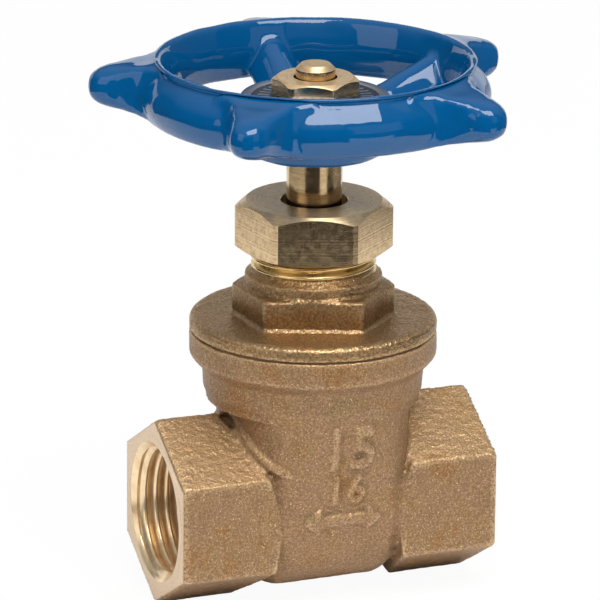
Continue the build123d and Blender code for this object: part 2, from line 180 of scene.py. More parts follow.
def makeCastBronze(name, look):
    # bronze cast in sand and shot-blasted: a dull brown skin with pale specks, partly where the shot struck
    # and partly painted glints, rubbed bright along its edges with painted edge highlights there too, painted
    # shade in its corners, painted light on its upward faces, and machined across the ends of the pipe
    material, tree = newMaterial(name)
    coords = addNode(tree, "ShaderNodeTexCoord")
    place = coords.outputs["Object"]
    sizes = [("grain", 3), ("nub", 2), ("speck", 1), ("tintPatch", 3)]
    grain, nub, speck, patch = [addNode(tree, "ShaderNodeTexNoise", {
        "Vector": place, "Scale": 1 / look[size], "Detail": detail, "Roughness": look["fine"]}).outputs["Fac"]
        for size, detail in sizes]
    # how proud each point stands: rubbed wear and painted edge highlights where it stands out, painted shade
    # where it sinks
    wearAndShading = addNode(tree, "ShaderNodeAttribute", attribute_name="wearAndShading").outputs["Fac"]
    facing = addNode(tree, "ShaderNodeSeparateXYZ", {0: coords.outputs["Normal"]}).outputs["Z"]
    along = addNode(tree, "ShaderNodeSeparateXYZ", {0: place}).outputs["X"]

    # masks: upward faces, painted shade in hollows, rubbed edges with painted highlights, bare grain,
    # machined mottle
    spans = [(facing, *look["upSpan"]), (wearAndShading, *look["hollowShadeSpan"]), (wearAndShading, *look["rubHighlightSpan"]),
             (grain, *look["rubGrain"]), (grain, *look["faceGrain"])]
    upward, paintedHollowShade, rubbedAndHighlit, bared, mottle = [addNode(tree, "ShaderNodeMapRange", {
        "Value": value, "From Min": low, "From Max": high, "To Max": top}).outputs[0]
        for value, low, high, top in spans]
    # rubbed edges broken up by the grain, and painted top light on the upward faces
    rubbedAndHighlit, paintedTop = [addNode(tree, "ShaderNodeMath", {0: value, 1: by}, operation="MULTIPLY").outputs[0]
                      for value, by in ((rubbedAndHighlit, bared), (upward, look["paintedTopShare"]))]
    # shot specks with painted glints, which come thicker on the upward faces
    struckAndGlints = addNode(tree, "ShaderNodeMath", {0: upward, 1: look["topGlints"], 2: speck},
                     operation="MULTIPLY_ADD").outputs[0]
    low, high, top = look["struckGlintSpan"]
    struckAndGlints = addNode(tree, "ShaderNodeMapRange", {
        "Value": struckAndGlints, "From Min": low, "From Max": high, "To Max": top}).outputs[0]

    middle = (bodyLow.x + bodyHigh.x) / 2
    faceAt = bodyHigh.x - middle
    reach = addNode(tree, "ShaderNodeMath", {0: along, 1: middle}, operation="SUBTRACT").outputs[0]
    reach = addNode(tree, "ShaderNodeMath", {0: reach}, operation="ABSOLUTE").outputs[0]
    cut = addNode(tree, "ShaderNodeMapRange", {
        "Value": reach, "From Min": faceAt - look["faceSkin"] * 2,
        "From Max": faceAt - look["faceSkin"]}).outputs[0]
    faceTone = addNode(tree, "ShaderNodeMix", {0: mottle, 6: colour(look["face"]), 7: colour(look["peak"])},
                       data_type="RGBA").outputs[2]

    skin = addNode(tree, "ShaderNodeValToRGB", {"Fac": grain})
    fillRamp(skin, list(zip(look["skinStops"], (look["valley"], look["skin"], look["peak"]))))
    tint = addNode(tree, "ShaderNodeValToRGB", {"Fac": patch})
    fillRamp(tint, look["tints"])
    base = skin.outputs["Color"]
    # laid over the grain: random tints, painted shade in hollows, rubbed edges with painted highlights,
    # painted top light, shot specks with painted glints, the machined ends
    for amount, over in [(look["tintShare"], tint.outputs["Color"]), (paintedHollowShade, colour(look["paintedHollowShade"])),
                         (rubbedAndHighlit, colour(look["wornAndHighlight"])), (paintedTop, colour(look["paintedTopLight"])),
                         (struckAndGlints, colour(look["glintSpeck"])), (cut, faceTone)]:
        base = addNode(tree, "ShaderNodeMix", {0: amount, 6: base, 7: over}, data_type="RGBA").outputs[2]

    nubs = addNode(tree, "ShaderNodeMath", {0: upward, 1: look["sideRelief"]}, operation="ADD").outputs[0]
    nubs = addNode(tree, "ShaderNodeMath", {0: nub, 1: nubs}, operation="MULTIPLY").outputs[0]
    height = addNode(tree, "ShaderNodeMath", {0: grain, 1: look["grainRelief"], 2: nubs},
                     operation="MULTIPLY_ADD").outputs[0]
    uncut = addNode(tree, "ShaderNodeMath", {0: cut, 1: look["cutRelief"], 2: 1.0},
                    operation="MULTIPLY_ADD").outputs[0]
    level = addNode(tree, "ShaderNodeMath", {0: height, 1: uncut}, operation="MULTIPLY").outputs[0]
    bump = addNode(tree, "ShaderNodeBump", {"Height": level, "Strength": 1.0, "Distance": look["relief"]})

    low, high, _ = look["faceGrain"]
    gloss = addNode(tree, "ShaderNodeMapRange", {
        "Value": grain, "From Min": low, "From Max": high, "To Min": look["gloss"],
        "To Max": look["gloss"] + look["grainGloss"]}).outputs[0]
    for amount, change in [(struckAndGlints, look["struckGloss"]), (cut, look["cutGloss"])]:
        gloss = addNode(tree, "ShaderNodeMath", {0: amount, 1: change, 2: gloss},
                        operation="MULTIPLY_ADD").outputs[0]
    finishMaterial(tree, {
        "Base Color": base, "Metallic": look["metallic"], "Roughness": gloss,
        "Normal": bump.outputs["Normal"]})
    return material


def stemPlace(tree, place):  # the place seen from the stem's axis, and how far out it is
    fromAxis = addNode(tree, "ShaderNodeVectorMath", {0: place, 1: (stemX, 0, 0)},
                       operation="SUBTRACT").outputs[0]
    flat = addNode(tree, "ShaderNodeVectorMath", {0: fromAxis, 1: (1, 1, 0)}, operation="MULTIPLY").outputs[0]
    return fromAxis, addNode(tree, "ShaderNodeVectorMath", {0: flat}, operation="LENGTH").outputs["Value"]


def makeTurnedBrass(name, look):
    # free-cutting brass: rings where a lathe faced it, level lines round its sides, a few dull patches
    material, tree = newMaterial(name)
    coords = addNode(tree, "ShaderNodeTexCoord")
    place = coords.outputs["Object"]
    radius = stemPlace(tree, place)[1]
    height = addNode(tree, "ShaderNodeSeparateXYZ", {0: place}).outputs["Z"]
    facing = addNode(tree, "ShaderNodeSeparateXYZ", {0: coords.outputs["Normal"]}).outputs["Z"]
    facing = addNode(tree, "ShaderNodeMath", {0: facing, 1: 0.5}, operation="GREATER_THAN").outputs[0]
    across = addNode(tree, "ShaderNodeMix", {0: facing, 2: height, 3: radius}).outputs[0]
    lines = addNode(tree, "ShaderNodeTexNoise", {
        "W": across, "Scale": 1 / look["lines"], "Detail": 3, "Roughness": 0.7},
        noise_dimensions="1D").outputs["Fac"]
    patch = addNode(tree, "ShaderNodeTexNoise", {
        "Vector": place, "Scale": 1 / look["patch"], "Detail": 4, "Roughness": 0.6}).outputs["Fac"]
    cloud, streak = [addNode(tree, "ShaderNodeMapRange", {
        "Value": value, "From Min": start, "From Max": full}).outputs[0]
        for value, (start, full) in ((patch, latheMarks["cloudSpan"]), (lines, latheMarks["streakSpan"]))]
    dull = addNode(tree, "ShaderNodeMath", {0: cloud, 1: streak}, operation="MULTIPLY").outputs[0]
    base = addNode(tree, "ShaderNodeMix", {0: dull, 6: colour(look["base"]), 7: colour(look["dull"])},
                   data_type="RGBA").outputs[2]
    low, high = look["roughness"]
    rough = addNode(tree, "ShaderNodeMapRange", {"Value": cloud, "To Min": low, "To Max": high}).outputs[0]
    rough = addNode(tree, "ShaderNodeMath", {0: facing, 1: look["endRoughness"], 2: rough},
                    operation="MULTIPLY_ADD").outputs[0]
    bump = addNode(tree, "ShaderNodeBump", {
        "Height": lines, "Strength": look["strength"], "Distance": look["depth"]})
    metallic = addNode(tree, "ShaderNodeMapRange", {
        "Value": facing, "To Min": 1.0, "To Max": look["endMetallic"]}).outputs[0]
    finishMaterial(tree, {
        "Base Color": base, "Metallic": metallic, "Roughness": rough, "Normal": bump.outputs["Normal"]})
    return material


enamelLook = {"base": "#014c7f", "roughness": 0.5, "coatRoughness": 0.03}


def makeEnamel():
    # thick dipped enamel over cast iron: deep blue with a wet gloss, which the coat gives alone
    material, tree = newMaterial("blueEnamel")
    finishMaterial(tree, {
        "Base Color": colour(enamelLook["base"]), "Roughness": enamelLook["roughness"],
        "Specular IOR Level": 0.0, "Coat Weight": 1.0, "Coat Roughness": enamelLook["coatRoughness"]})
    return material


def makePlain(name, base, metallic, roughness):
    material, tree = newMaterial(name)
    finishMaterial(tree, {"Base Color": colour(base), "Metallic": metallic, "Roughness": roughness})
    return material


castBronze = makeCastBronze("sandCastBronze", castLook)
bonnetBronze = makeCastBronze("cleanedCastBronze", bonnetLook)
latheMarks = {"cloudSpan": (0.4, 0.7), "streakSpan": (0.55, 0.35)}
turnedLooks = {  # a lathe's feed is nearer 0.1 mm, and its lines are drawn coarser so that they show
    "turnedStemBrass": {
        "base": "#dcbf92", "dull": "#9c7a50", "roughness": (0.16, 0.32), "lines": 0.5 * mm,
        "patch": 2.5 * mm, "strength": 0.35, "depth": 0.02 * mm, "endRoughness": 0.2, "endMetallic": 0.8},
    "milledNutBrass": {
        "base": "#dcbf94", "dull": "#a08058", "roughness": (0.16, 0.26), "lines": 0.26 * mm,
        "patch": 0.9 * mm, "strength": 0.6, "depth": 0.009 * mm, "endRoughness": 0.15, "endMetallic": 0.6},
    "cutThreadBrass": {
        "base": "#f2d79f", "dull": "#cfa463", "roughness": (0.16, 0.28), "lines": 0.3 * mm,
        "patch": 2 * mm, "strength": 0.2, "depth": 0.015 * mm, "endRoughness": 0.1, "endMetallic": 1.0},
}
# the orange-brown patches of the tapped thread are painted shade, standing in for its darker inner
# reflections
portLook = {
    "base": "#f5dcb4", "reflectedShade": "#c58a4e", "patch": 3 * mm, "reflectedShadeSpan": (0.45, 0.75, 0.5), "metallic": 0.75,
    "roughness": 0.24}


def makeTappedBrass():  # a tapped thread: pale and bright, with orange-brown patches at random that are painted shade for its darker inner reflections
    material, tree = newMaterial("tappedBrass")
    place = addNode(tree, "ShaderNodeTexCoord").outputs["Object"]
    patch = addNode(tree, "ShaderNodeTexNoise", {
        "Vector": place, "Scale": 1 / portLook["patch"], "Detail": 3, "Roughness": 0.6}).outputs["Fac"]
    low, high, top = portLook["reflectedShadeSpan"]
    reflectedShade = addNode(tree, "ShaderNodeMapRange", {
        "Value": patch, "From Min": low, "From Max": high, "To Max": top}).outputs[0]
    # painted shade mixed in at random patches
    base = addNode(tree, "ShaderNodeMix", {
        0: reflectedShade, 6: colour(portLook["base"]), 7: colour(portLook["reflectedShade"])}, data_type="RGBA").outputs[2]
    finishMaterial(tree, {
        "Base Color": base, "Metallic": portLook["metallic"], "Roughness": portLook["roughness"]})
    return material


tappedBrass = makeTappedBrass()
stemBrass, nutBrass, threadBrass = [makeTurnedBrass(name, look) for name, look in turnedLooks.items()]
blueEnamel = makeEnamel()
plateAluminium = makePlain("pressedAluminium", "#b9bcc4", 1.0, 0.35)  # bare grey metal with a soft sheen
graphite = makePlain("graphitedPacking", "#2a2a2c", 0.0, 0.6)  # braid soaked in graphite: near black
fibre = makePlain("fibreGasket", "#6e5740", 0.0, 0.8)  # vulcanised fibre: brown and dull
whitePlastic = makePlain("ptfeSheet", "#e4e4e0", 0.0, 0.5)  # waxy and off-white

nodeLooks = {
    "body": castBronze, "bonnet": bonnetBronze, "wedge": castBronze,
    "packing_nut": nutBrass, "wheel_nut": nutBrass, "stem": stemBrass,
    "stem_retainer": stemBrass, "gland_follower": stemBrass,
    "handwheel": blueEnamel, "identity_plate": plateAluminium,
    "bonnet_gasket": fibre, "lower_thrust_washer": whitePlastic, "upper_thrust_washer": whitePlastic,
    "packing_ring_1": graphite, "packing_ring_2": graphite, "packing_ring_3": graphite,
}
for nodeName, material in nodeLooks.items():
    slots = frame["nodes"][nodeName].data.materials
    slots.clear()
    slots.append(material)
print("materials on the CAD nodes")


# shaping helpers
def copyNode(name):  # a CAD node's shape, its loose triangles joined
    bm = bmesh.new()
    bm.from_mesh(frame["nodes"][name].data)
    bmesh.ops.remove_doubles(bm, verts=bm.verts, dist=joinReach)
    return bm


def applyModifiers(piece):
    graph = bpy.context.evaluated_depsgraph_get()
    shaped = bpy.data.meshes.new_from_object(piece.evaluated_get(graph))
    piece.modifiers.clear()
    old, piece.data = piece.data, shaped
    bpy.data.meshes.remove(old)


def reskin(piece, voxel, rounds):  # one even skin over everything in the piece, its edges worn round
    skin = piece.modifiers.new("skin", "REMESH")
    skin.mode, skin.voxel_size, skin.use_smooth_shade = "VOXEL", voxel, True
    soften = piece.modifiers.new("soften", "SMOOTH")
    soften.factor, soften.iterations = 0.5, rounds
    applyModifiers(piece)


def stepShare(value, low, high):  # 0 below low, 1 above high, smooth between
    share = min(max((value - low) / (high - low), 0), 1)
    return share * share * (3 - 2 * share)


def levelled(mesh, rounds):  # the points of a mesh, their normals, and the points smoothed
    count = len(mesh.vertices)
    points, normals = np.empty(count * 3), np.empty(count * 3)
    ends = np.empty(len(mesh.edges) * 2, dtype=int)
    mesh.vertices.foreach_get("co", points)
    mesh.vertices.foreach_get("normal", normals)
    mesh.edges.foreach_get("vertices", ends)
    points, normals, ends = points.reshape(-1, 3), normals.reshape(-1, 3), ends.reshape(-1, 2)
    start, end = ends[:, 0], ends[:, 1]
    neighbours = np.bincount(ends.ravel(), minlength=count)[:, None]
    level = points.copy()
    for _ in range(rounds):
        total = [np.bincount(start, level[end, axis], count) + np.bincount(end, level[start, axis], count)
                 for axis in range(3)]
        level = (level + np.stack(total, axis=1) / neighbours) / 2
    return points, normals, level


# this drives the castings' rubbed wear, their painted edge highlights and their painted shade in hollows
def markWearAndShading(piece, rounds, full):  # how far each point stands out from the smoothed form, 0.5 for level
    points, normals, level = levelled(piece.data, rounds)
    proud = ((points - level) * normals).sum(axis=1)
    wearAndShading = piece.data.attributes.new("wearAndShading", "FLOAT", "POINT")
    wearAndShading.data.foreach_set("value", np.clip(0.5 + proud / full / 2, 0, 1))


def swell(piece, rise):  # moves each point along its normal by what rise says for it
    bm = bmesh.new()
    bm.from_mesh(piece.data)
    bm.normal_update()
    moves = [v.normal * rise(v) for v in bm.verts]
    for v, move in zip(bm.verts, moves):
        v.co += move
    bm.to_mesh(piece.data)
    bm.free()


def cutLevel(bm, height, way=1, clear=False):  # cuts across at a height, and may clear what is past it
    everything = bm.verts[:] + bm.edges[:] + bm.faces[:]
    bmesh.ops.bisect_plane(bm, geom=everything, plane_co=(0, 0, height), plane_no=(0, 0, way),
                           clear_outer=clear)


def spinProfile(line, facets):  # turns (radius, height) corners about the stem's axis into a closed ring
    bm = bmesh.new()
    ring = [bm.verts.new((out, 0, height)) for out, height in line]
    edges = [bm.edges.new(pair) for pair in zip(ring, ring[1:] + ring[:1])]
    bmesh.ops.spin(bm, geom=ring + edges, cent=(0, 0, 0), axis=(0, 0, 1), angle=2 * math.pi, steps=facets,
                   use_merge=True)
    bmesh.ops.recalc_face_normals(bm, faces=bm.faces)
    bmesh.ops.translate(bm, verts=bm.verts, vec=(stemX, 0, 0))
    return bm


# cast body with its raised marks
body = {
    "voxel": 0.405 * mm,
    "softenRounds": 3,
    "wearShadingRounds": 12,
    "wearShadingFull": 0.35 * mm,
    "lump": 4.5 * mm,
    "lumpHeight": 0.10 * mm,
    "grain": 0.8 * mm,
    "grainHeight": 0.05 * mm,
    "topGrainHeight": 0.06 * mm,  # the top of the mould leaves a rougher skin
    "faceDepth": 0.22 * mm,
    "threadReach": 10.95 * mm,
    "boreRadius": 11.6 * mm,
    "boreDepth": 11.9 * mm,
    "boreSkin": 0.1 * mm,
    "marks": [("15", 6.4 * mm, 12.0 * mm), ("16", 4.6 * mm, 5.3 * mm)],  # figures, height, middle
    "markRise": 0.7 * mm,
    "markDepth": 0.8 * mm,
    "markHalf": 1 * mm,
    "markWeight": 0.02,
    "markStep": 0.8 * mm,
    "markFrom": -40 * mm,  # in front of the body, where the search for its surface starts
    "capShare": 0.7,  # how much of a letter's size its figures stand
    "arrowMiddle": 0.0 * mm,
    "arrowSize": 4.2 * mm,
    "arrowReach": 6.3 * mm,
    "arrowParts": (0.6, 0.5, 0.14),  # length of a head, half its width and half the bar's, by size
    "seamRadius": 0.7 * mm,
    "seamTaper": 0.4,
    "seamStep": 0.35 * mm,
    "seamSpan": (-0.02, 0.94),  # from the flat's lower corner to its upper one
    "seamLift": 0.75 * mm,  # off the flat
    "seamBack": 0.25 * mm,  # out of the waist, towards the inlet
    "seamFrom": 2 * mm,  # from the inlet's face, where the search for the waist starts
}


def textSolid(words, size):  # figures as a closed solid, upright in XZ and centred
    curve = bpy.data.curves.new("words", "FONT")
    curve.body, curve.size, curve.align_x = words, size, "CENTER"
    curve.extrude, curve.offset = body["markHalf"], body["markWeight"] * size
    holder = bpy.data.objects.new("words", curve)
    bpy.context.collection.objects.link(holder)
    graph = bpy.context.evaluated_depsgraph_get()
    bm = bmesh.new()
    bm.from_mesh(bpy.data.meshes.new_from_object(holder.evaluated_get(graph)))
    bpy.data.objects.remove(holder)
    bmesh.ops.remove_doubles(bm, verts=bm.verts, dist=joinReach)
    bmesh.ops.rotate(bm, verts=bm.verts, matrix=Matrix.Rotation(math.pi / 2, 3, "X"))
    return bm


def arrowSolid(reach, size):  # a bar with a head at each end, which says that the flow may go both ways
    head, half, bar = [size * part for part in body["arrowParts"]]
    neck = reach - head
    outline = [(reach, 0), (neck, half), (neck, bar), (-neck, bar), (-neck, half),
               (-reach, 0), (-neck, -half), (-neck, -bar), (neck, -bar), (neck, -half)]
    bm = bmesh.new()
    face = bm.faces.new([bm.verts.new((x, -body["markHalf"], z)) for x, z in outline])
    made = [item for item in bmesh.ops.extrude_face_region(bm, geom=[face])["geom"]
            if isinstance(item, bmesh.types.BMVert)]
    bmesh.ops.translate(bm, verts=made, vec=(0, 2 * body["markHalf"], 0))
    bmesh.ops.triangulate(bm, faces=bm.faces)
    bmesh.ops.recalc_face_normals(bm, faces=bm.faces)
    return bm


def layOnBody(marks, middle, surface):  # wraps a mark on the front of the waist, a little proud of it
    low = min(v.co.z for v in marks.verts)
    high = max(v.co.z for v in marks.verts)
    for index in range(1, int((high - low) / body["markStep"])):
        cutLevel(marks, low + index * body["markStep"])
    for v in marks.verts:
        front = v.co.y < 0
        x, z = v.co.x + stemX, v.co.z + middle
        hit = surface.ray_cast(Vector((x, body["markFrom"], z)), Vector((0, 1, 0)))[0]
        v.co = (x, hit.y + (-body["markRise"] if front else body["markDepth"]), z)


def seamSolid(surface, side):  # the raised seam where an upper flat of the inlet's hexagon meets the waist
    flat = Vector((0, side * math.cos(math.pi / 3), math.sin(math.pi / 3)))
    along = Vector((0, -flat.z * side, abs(flat.y)))  # up the flat, to the hexagon's top corner
    width = -cadLow.z  # the hexagon stands on a corner, so a flat is as wide as the corner is far
    half = width * math.cos(math.pi / 6)
    low, high = body["seamSpan"]
    count = int(width * (high - low) / body["seamStep"])
    bm = bmesh.new()
    for index in range(count + 1):
        place = width * (low + (high - low) * index / count - 0.5)
        start = flat * (half + body["seamLift"]) + along * place
        start.x = bodyLow.x + body["seamFrom"]
        hit = surface.ray_cast(start, Vector((1, 0, 0)))[0]
        if hit and hit.x < stemX:
            radius = body["seamRadius"] * (1 - body["seamTaper"] * (1 - math.sin(math.pi * index / count)))
            bmesh.ops.create_icosphere(bm, subdivisions=2, radius=radius,
                                       matrix=Matrix.Translation(hit - Vector((body["seamBack"], 0, 0))))
    return bm


def addSolid(bm, solid):  # takes a closed solid into a piece that is still to be reskinned
    mesh = bpy.data.meshes.new("solid")
    solid.to_mesh(mesh)
    solid.free()
    bm.from_mesh(mesh)
    bpy.data.meshes.remove(mesh)


def fromPipe(point):  # distance from the pipe's axis
    return math.hypot(point.y, point.z)


sandSkin = {"fineShare": 0.6, "fineScale": 2.1, "topSpan": (0.2, 0.8)}


def roughen(piece, look, bare):  # the skin that the sand leaves, none of it where a tool has cut
    def rise(v):
        if bare(v):
            return 0
        lump = noise.noise(v.co / look["lump"]) * look["lumpHeight"]
        grain = noise.noise(v.co / look["grain"])
        grain += sandSkin["fineShare"] * noise.noise(v.co / look["grain"] * sandSkin["fineScale"])
        height = look["grainHeight"] + look["topGrainHeight"] * stepShare(v.normal.z, *sandSkin["topSpan"])
        return lump + grain * height

    swell(piece, rise)


def makeBody():
    bm = copyNode("body")
    surface = BVHTree.FromBMesh(bm)
    for v in bm.verts:  # the thread is a piece of its own, in a plain bore
        depth = min(v.co.x - bodyLow.x, bodyHigh.x - v.co.x)
        reach = fromPipe(v.co)
        if depth < body["boreDepth"] and reach < body["threadReach"]:
            v.co.yz = Vector(v.co.yz) * body["boreRadius"] / reach
    for words, height, middle in body["marks"]:
        marks = textSolid(words, height / body["capShare"])
        bmesh.ops.translate(marks, verts=marks.verts, vec=(0, 0, -height / 2))
        layOnBody(marks, middle, surface)
        addSolid(bm, marks)
    marks = arrowSolid(body["arrowReach"], body["arrowSize"])
    layOnBody(marks, body["arrowMiddle"], surface)
    addSolid(bm, marks)
    for side in (-1, 1):
        addSolid(bm, seamSolid(surface, side))
    piece = newPiece("bodyCasting", bm, castBronze)
    reskin(piece, body["voxel"], body["softenRounds"])
    markWearAndShading(piece, body["wearShadingRounds"], body["wearShadingFull"])

    def isBare(v):
        depth = min(v.co.x - bodyLow.x, bodyHigh.x - v.co.x)
        return depth < body["faceDepth"] or fromPipe(v.co) < body["boreRadius"] + body["boreSkin"]

    roughen(piece, body, isBare)
    for v in piece.data.vertices:  # the end faces are cut flat
        if v.co.x - bodyLow.x < body["faceDepth"]:
            v.co.x = bodyLow.x
        if bodyHigh.x - v.co.x < body["faceDepth"]:
            v.co.x = bodyHigh.x
    piece.data.shade_smooth()
    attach(piece, "valve_body")
    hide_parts("body")
    return piece


bodyPiece = makeBody()
print("body casting:", len(bodyPiece.data.polygons), "faces")


# screw threads
portThread = {
    "crest": 9.4 * mm,
    "root": 10.4 * mm,
    "pitch": 1.814 * mm,
    "phase": 0.45,
    "blunt": 0.6,
    "length": 12.2 * mm,
    "mouth": 10.85 * mm,
    "faceReach": 12.0 * mm,
    "backing": 11.3 * mm,
    "proud": 0.03 * mm,
    "lipDepth": 0.5 * mm,
    "sharp": 40,
}
neckThread = {
    "crest": 9.55 * mm,
    "root": 8.95 * mm,
    "pitch": 1.3 * mm,
    "phase": 0.0,
    "blunt": 0.6,
    "low": 36.1 * mm,
    "high": 43.9 * mm,
    "backing": 8.2 * mm,
    "sharp": 50,
}
threadFacets = 128
pointsPerPitch = 12
spareTurns = 3  # turned past the ends and trimmed off


def threadSkin(look, low, high):
    # the flanks of a right-hand thread about the Z axis, trimmed flat at both ends
    crest, root, pitch = look["crest"], look["root"], look["pitch"]
    bm = bmesh.new()
    turns = math.ceil((high - low) / pitch) + spareTurns
    line = []
    for index in range(turns * pointsPerPitch + 1):
        turn = index / pointsPerPitch
        share = (0.5 + 0.5 * math.sin(2 * math.pi * (turn + look["phase"]))) ** look["blunt"]
        height = low + (turn + 1 - spareTurns) * pitch
        line.append(bm.verts.new((root + (crest - root) * share, 0, height)))
    edges = [bm.edges.new(pair) for pair in zip(line, line[1:])]
    bmesh.ops.spin(bm, geom=line + edges, cent=(0, 0, 0), axis=(0, 0, 1), dvec=(0, 0, pitch / threadFacets),
                   angle=2 * math.pi, steps=threadFacets)
    bmesh.ops.remove_doubles(bm, verts=bm.verts, dist=joinReach)
    cutLevel(bm, low, -1, clear=True)
    cutLevel(bm, high, 1, clear=True)
    return bm


def rimEdges(bm, height):  # the open edges of a skin at one height
    return [e for e in bm.edges if e.is_boundary and all(abs(v.co.z - height) < 0.01 * mm for v in e.verts)]


def nextRing(bm, edges, radius, height):  # extrudes a ring of edges to a new radius and height
    made = bmesh.ops.extrude_edge_only(bm, edges=edges)["geom"]
    for v in [item for item in made if isinstance(item, bmesh.types.BMVert)]:
        v.co.xy = Vector(v.co.xy).normalized() * radius
        v.co.z = height
    return [item for item in made if isinstance(item, bmesh.types.BMEdge) and item.is_boundary]


def closeSleeve(bm, fromEdges, toEdges):  # the last wall, between two open rims
    bmesh.ops.bridge_loops(bm, edges=fromEdges + toEdges)
    bmesh.ops.recalc_face_normals(bm, faces=bm.faces)


def makePortThread(name, faceX, turn):
    t = portThread
    bm = threadSkin(t, 0, t["length"])
    for v in bm.verts:  # the mouth is opened out to a cone
        cone = t["mouth"] - v.co.z
        reach = Vector(v.co.xy).length
        if reach < cone:
            v.co.xy = Vector(v.co.xy) * cone / reach
    inner = rimEdges(bm, t["length"])
    ring = rimEdges(bm, 0)
    for radius, height in [(t["mouth"], -t["proud"]), (t["faceReach"], -t["proud"]),
                           (t["faceReach"], t["lipDepth"]), (t["backing"], t["lipDepth"]),
                           (t["backing"], t["length"])]:
        ring = nextRing(bm, ring, radius, height)
    closeSleeve(bm, ring, inner)
    bmesh.ops.rotate(bm, verts=bm.verts, matrix=Matrix.Rotation(turn, 3, "Y"))
    bmesh.ops.translate(bm, verts=bm.verts, vec=(faceX, 0, 0))
    piece = newPiece(name, bm, tappedBrass, sharp=t["sharp"])
    piece.data.materials.append(castBronze)
    for face in piece.data.polygons:  # the flat ring round the mouth is of the body's metal
        outside = abs(face.center.x - faceX) < 0.1 * mm and abs(face.normal.x) > 0.9
        face.material_index = 1 if outside else 0
    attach(piece, "valve_body")


def makeNeckThread():
    t = neckThread
    bm = threadSkin(t, t["low"], t["high"])
    top = rimEdges(bm, t["high"])
    ring = nextRing(bm, rimEdges(bm, t["low"]), t["backing"], t["low"])
    ring = nextRing(bm, ring, t["backing"], t["high"])
    closeSleeve(bm, ring, top)
    bmesh.ops.translate(bm, verts=bm.verts, vec=(stemX, 0, 0))
    piece = newPiece("neckThread", bm, threadBrass, sharp=t["sharp"])
    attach(piece, "valve_body")


makePortThread("inletThread", bodyLow.x, math.pi / 2)
makePortThread("outletThread", bodyHigh.x, -math.pi / 2)
makeNeckThread()
print("threads")


# cast bonnet
bonnet = {
    "voxel": 0.34 * mm,
    "softenRounds": 2,
    "wearShadingRounds": 12,
    "wearShadingFull": 0.35 * mm,
    "lump": 4 * mm,
    "lumpHeight": 0.08 * mm,
    "grain": 0.8 * mm,
    "grainHeight": 0.045 * mm,
    "topGrainHeight": 0.03 * mm,
    "neckStart": 36.5 * mm,
    "neckRadius": 8.5 * mm,
    "neckReach": 9.7 * mm,
    "spigotTop": 27.0 * mm,
}


def makeBonnet():
    bm = copyNode("bonnet")
    for v in bm.verts:  # the neck's thread is a piece of its own
        reach = math.hypot(v.co.x - stemX, v.co.y)
        if v.co.z > bonnet["neckStart"] and bonnet["neckRadius"] < reach < bonnet["neckReach"]:
            share = bonnet["neckRadius"] / reach
            v.co.x, v.co.y = stemX + (v.co.x - stemX) * share, v.co.y * share
    piece = newPiece("bonnetCasting", bm, bonnetBronze)
    reskin(piece, bonnet["voxel"], bonnet["softenRounds"])
    markWearAndShading(piece, bonnet["wearShadingRounds"], bonnet["wearShadingFull"])

    def isBare(v):
        return v.co.z < bonnet["spigotTop"] or v.co.z > bonnet["neckStart"] or \
            math.hypot(v.co.x - stemX, v.co.y) < neckThread["backing"]

    roughen(piece, bonnet, isBare)
    piece.data.shade_smooth()
    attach(piece, "valve_body")
    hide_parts("bonnet")
    return piece


bonnetPiece = makeBonnet()
print("bonnet casting:", len(bonnetPiece.data.polygons), "faces")


# enamelled handwheel
wheel = {
    "voxel": 0.4 * mm,
    "softenRounds": 8,
    "tipRounds": 45,
    "tipReach": (26.5 * mm, 31 * mm),
    "tipRegain": 0.5 * mm,  # what the rounding takes off, given back
    "armRounds": 36,
    "armStart": (11.6 * mm, 12.8 * mm),
    "armEnd": (22.6 * mm, 21.0 * mm),
    "armRegain": 0.45 * mm,
    "regain": 0.1 * mm,
    # how far each side of the rim leans, the heights above and below its top that this runs between, and
    # the distances from the stem where the sides part and where the lean starts and stops
    "leanOut": 2.1 * mm,
    "leanIn": 1.0 * mm,
    "leanTop": 2.6 * mm,
    "leanDepth": 5.2 * mm,
    "leanMiddle": (23.9 * mm, 25.2 * mm),
    "leanPivot": 0.5,
    "leanStart": (21.5 * mm, 22.8 * mm),
    "leanStop": (26.8 * mm, 29.0 * mm),
    "ripple": 4.5 * mm,
    "rippleHeight": 0.11 * mm,
}


def wearRound(piece, rounds, regain, spans):
    # rounds a part of the wheel off; a span is where that starts and where it is full, from the stem
    points, normals, level = levelled(piece.data, rounds)
    reach = np.hypot(points[:, 0] - stemX, points[:, 1])
    share = np.ones(len(points))
    for start, full in spans:
        share *= np.clip((reach - start) / (full - start), 0, 1)
    level += normals * regain
    piece.data.vertices.foreach_set("co", (points + (level - points) * share[:, None]).ravel())
    piece.data.update()


def leanRim(piece):  # both sides of the rim lean together towards its thin top edge
    top = max(v.co.z for v in piece.data.vertices)
    for v in piece.data.vertices:
        x, y = v.co.x - stemX, v.co.y
        reach = math.hypot(x, y)
        outer = stepShare(reach, *wheel["leanMiddle"])
        rise = stepShare(v.co.z, top - wheel["leanDepth"], top + wheel["leanTop"])
        inward = wheel["leanOut"] * outer * rise + wheel["leanIn"] * (1 - outer) * (wheel["leanPivot"] - rise)
        inward *= stepShare(reach, *wheel["leanStart"]) * (1 - stepShare(reach, *wheel["leanStop"]))
        shift = 1 - inward / max(reach, wheel["leanStart"][0])
        v.co.x, v.co.y = stemX + x * shift, y * shift


